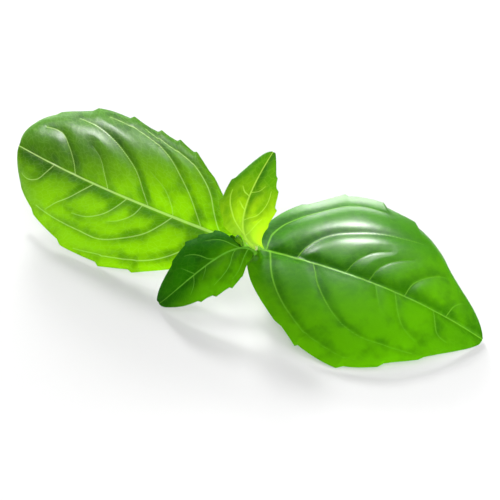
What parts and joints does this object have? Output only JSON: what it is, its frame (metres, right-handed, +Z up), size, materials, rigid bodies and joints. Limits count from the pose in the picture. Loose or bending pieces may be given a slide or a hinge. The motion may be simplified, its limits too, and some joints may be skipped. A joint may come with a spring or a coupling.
{
  "type": "basil sprig",
  "caption": "Cut basil sprig lying on a surface: broad glossy toothed leaves, smaller young leaves and a tiny folded bud on a short four-sided stem, a fresh culinary herb.",
  "frame": {"origin": "middle of the ground the sprig covers, on the surface it lies on", "axes": "+X from the left leaf's tip to the right leaf's tip, +Y towards the cut end of the stem and away from the bud, +Z up from the surface"},
  "size_m": [0.1174, 0.0753, 0.0331],
  "materials": {
    "stem": "satin",
    "leaf_lit": "satin",
    "leaf_deep": "gloss",
    "young_leaf_dark": "satin",
    "young_leaf_pale": "satin",
    "bud": "satin"
  },
  "bodies": {
    "root": {"stem": "stem", "leaf_left": "leaf_lit", "leaf_right": "leaf_deep", "leaf_front": "young_leaf_dark", "leaf_upright": "young_leaf_pale", "bud_leaf_left": "bud", "bud_leaf_right": "bud"}
  },
  "joints": []
}
